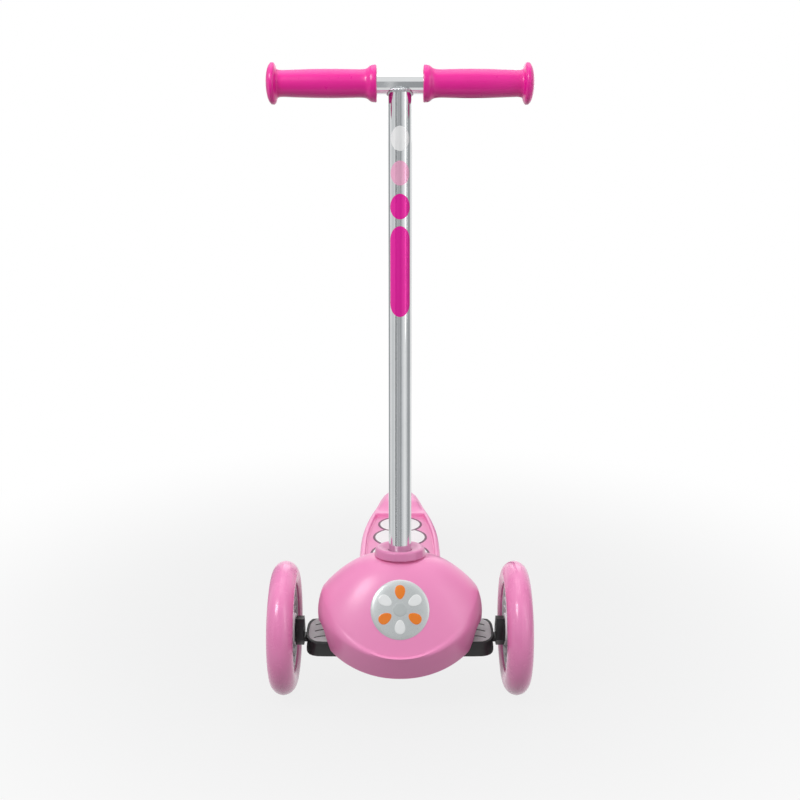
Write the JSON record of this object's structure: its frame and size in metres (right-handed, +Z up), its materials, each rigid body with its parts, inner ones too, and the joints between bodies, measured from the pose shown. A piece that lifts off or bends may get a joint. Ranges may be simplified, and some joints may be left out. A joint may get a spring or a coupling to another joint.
{
  "type": "three wheel kids scooter",
  "caption": "Kick scooter for small children with a T bar: the frame leans on the level front axle beam and a tie rod then steers the front wheels.",
  "frame": {"origin": "on the floor, under the middle of the scooter's width and length", "axes": "+Z up, -Y the way the scooter rides, +X to the rider's left"},
  "size_m": [0.2974, 0.5599, 0.6957],
  "materials": {
    "pink_shell": "glossy",
    "pink_tyre": "semi-gloss",
    "magenta_grip": "satin",
    "white_hub": "satin",
    "black_plastic": "satin",
    "black_metal": "satin",
    "grey_tread": "textured",
    "chrome_tube": "polished",
    "zinc_steel": "zinc plated",
    "black_rubber": "matte"
  },
  "bodies": {
    "front_axle": {"axle_beam": "black_plastic", "axle_tread_left": "grey_tread", "axle_tread_right": "grey_tread", "kingpin_left": "zinc_steel", "kingpin_right": "zinc_steel", "pivot_bush_front": "black_rubber", "pivot_bush_rear": "black_rubber"},
    "frame": {"deck": "pink_shell", "head_bracket": "black_metal", "steer_lever": "zinc_steel", "front_shell": "pink_shell", "collar": "pink_shell", "column": "chrome_tube", "column_bolt": "zinc_steel", "crossbar": "chrome_tube", "bar_weld": "chrome_tube", "grip_left": "magenta_grip", "grip_right": "magenta_grip", "bracket_screw_left": "zinc_steel", "bracket_screw_right": "zinc_steel", "pivot_bolt": "zinc_steel", "pivot_nut": "zinc_steel", "pivot_sleeve": "zinc_steel", "rear_axle": "zinc_steel", "rear_axle_nut": "zinc_steel", "rear_spacer_left": "zinc_steel", "rear_spacer_right": "zinc_steel"},
    "tie_rod": {"tie_rod": "zinc_steel"},
    "knuckle_left": {"knuckle_left": "black_plastic", "wheel_bolt_left": "zinc_steel"},
    "knuckle_right": {"knuckle_right": "black_plastic", "wheel_bolt_right": "zinc_steel"},
    "wheel_front_left": {"tyre_front_left": "pink_tyre", "hub_front_left": "white_hub", "bearing_front_left_1": "zinc_steel", "bearing_front_left_2": "zinc_steel", "bearing_spacer_front_left": "zinc_steel"},
    "wheel_front_right": {"tyre_front_right": "pink_tyre", "hub_front_right": "white_hub", "bearing_front_right_1": "zinc_steel", "bearing_front_right_2": "zinc_steel", "bearing_spacer_front_right": "zinc_steel"},
    "wheel_rear": {"tyre_rear": "pink_tyre", "hub_rear": "white_hub", "bearing_rear_1": "zinc_steel", "bearing_rear_2": "zinc_steel", "bearing_spacer_rear": "zinc_steel"}
  },
  "joints": [
    {"name": "lean", "type": "hinge", "parent": "front_axle", "child": "frame", "pos_m": [0, -0.202, 0.105], "axis": [0, 1, 0], "range_deg": [-6.4, 6.4], "stiffness_Nm_per_rad": 40},
    {"name": "rod_slide", "type": "slide", "parent": "front_axle", "child": "tie_rod", "axis": [1, 0, 0], "range_m": [-0.0053, 0.0053]},
    {"name": "steer_left", "type": "hinge", "parent": "front_axle", "child": "knuckle_left", "pos_m": [0.098, -0.202, 0.064], "axis": [0, 0, 1], "range_deg": [-15, 15]},
    {"name": "steer_right", "type": "hinge", "parent": "front_axle", "child": "knuckle_right", "pos_m": [-0.098, -0.202, 0.064], "axis": [0, 0, 1], "range_deg": [-15, 15]},
    {"name": "roll_front_left", "type": "hinge", "parent": "knuckle_left", "child": "wheel_front_left", "pos_m": [0.131, -0.202, 0.075], "axis": [1, 0, 0], "continuous": true},
    {"name": "roll_front_right", "type": "hinge", "parent": "knuckle_right", "child": "wheel_front_right", "pos_m": [-0.131, -0.202, 0.075], "axis": [1, 0, 0], "continuous": true},
    {"name": "roll_rear", "type": "hinge", "parent": "frame", "child": "wheel_rear", "pos_m": [0, 0.229, 0.04], "axis": [1, 0, 0], "continuous": true}
  ],
  "couplings": [
    {"joint": "steer_left", "follows": "lean", "ratio": 2.325},
    {"joint": "steer_right", "follows": "lean", "ratio": 2.325},
    {"joint": "rod_slide", "follows": "lean", "m_per_rad": -0.0465}
  ]
}
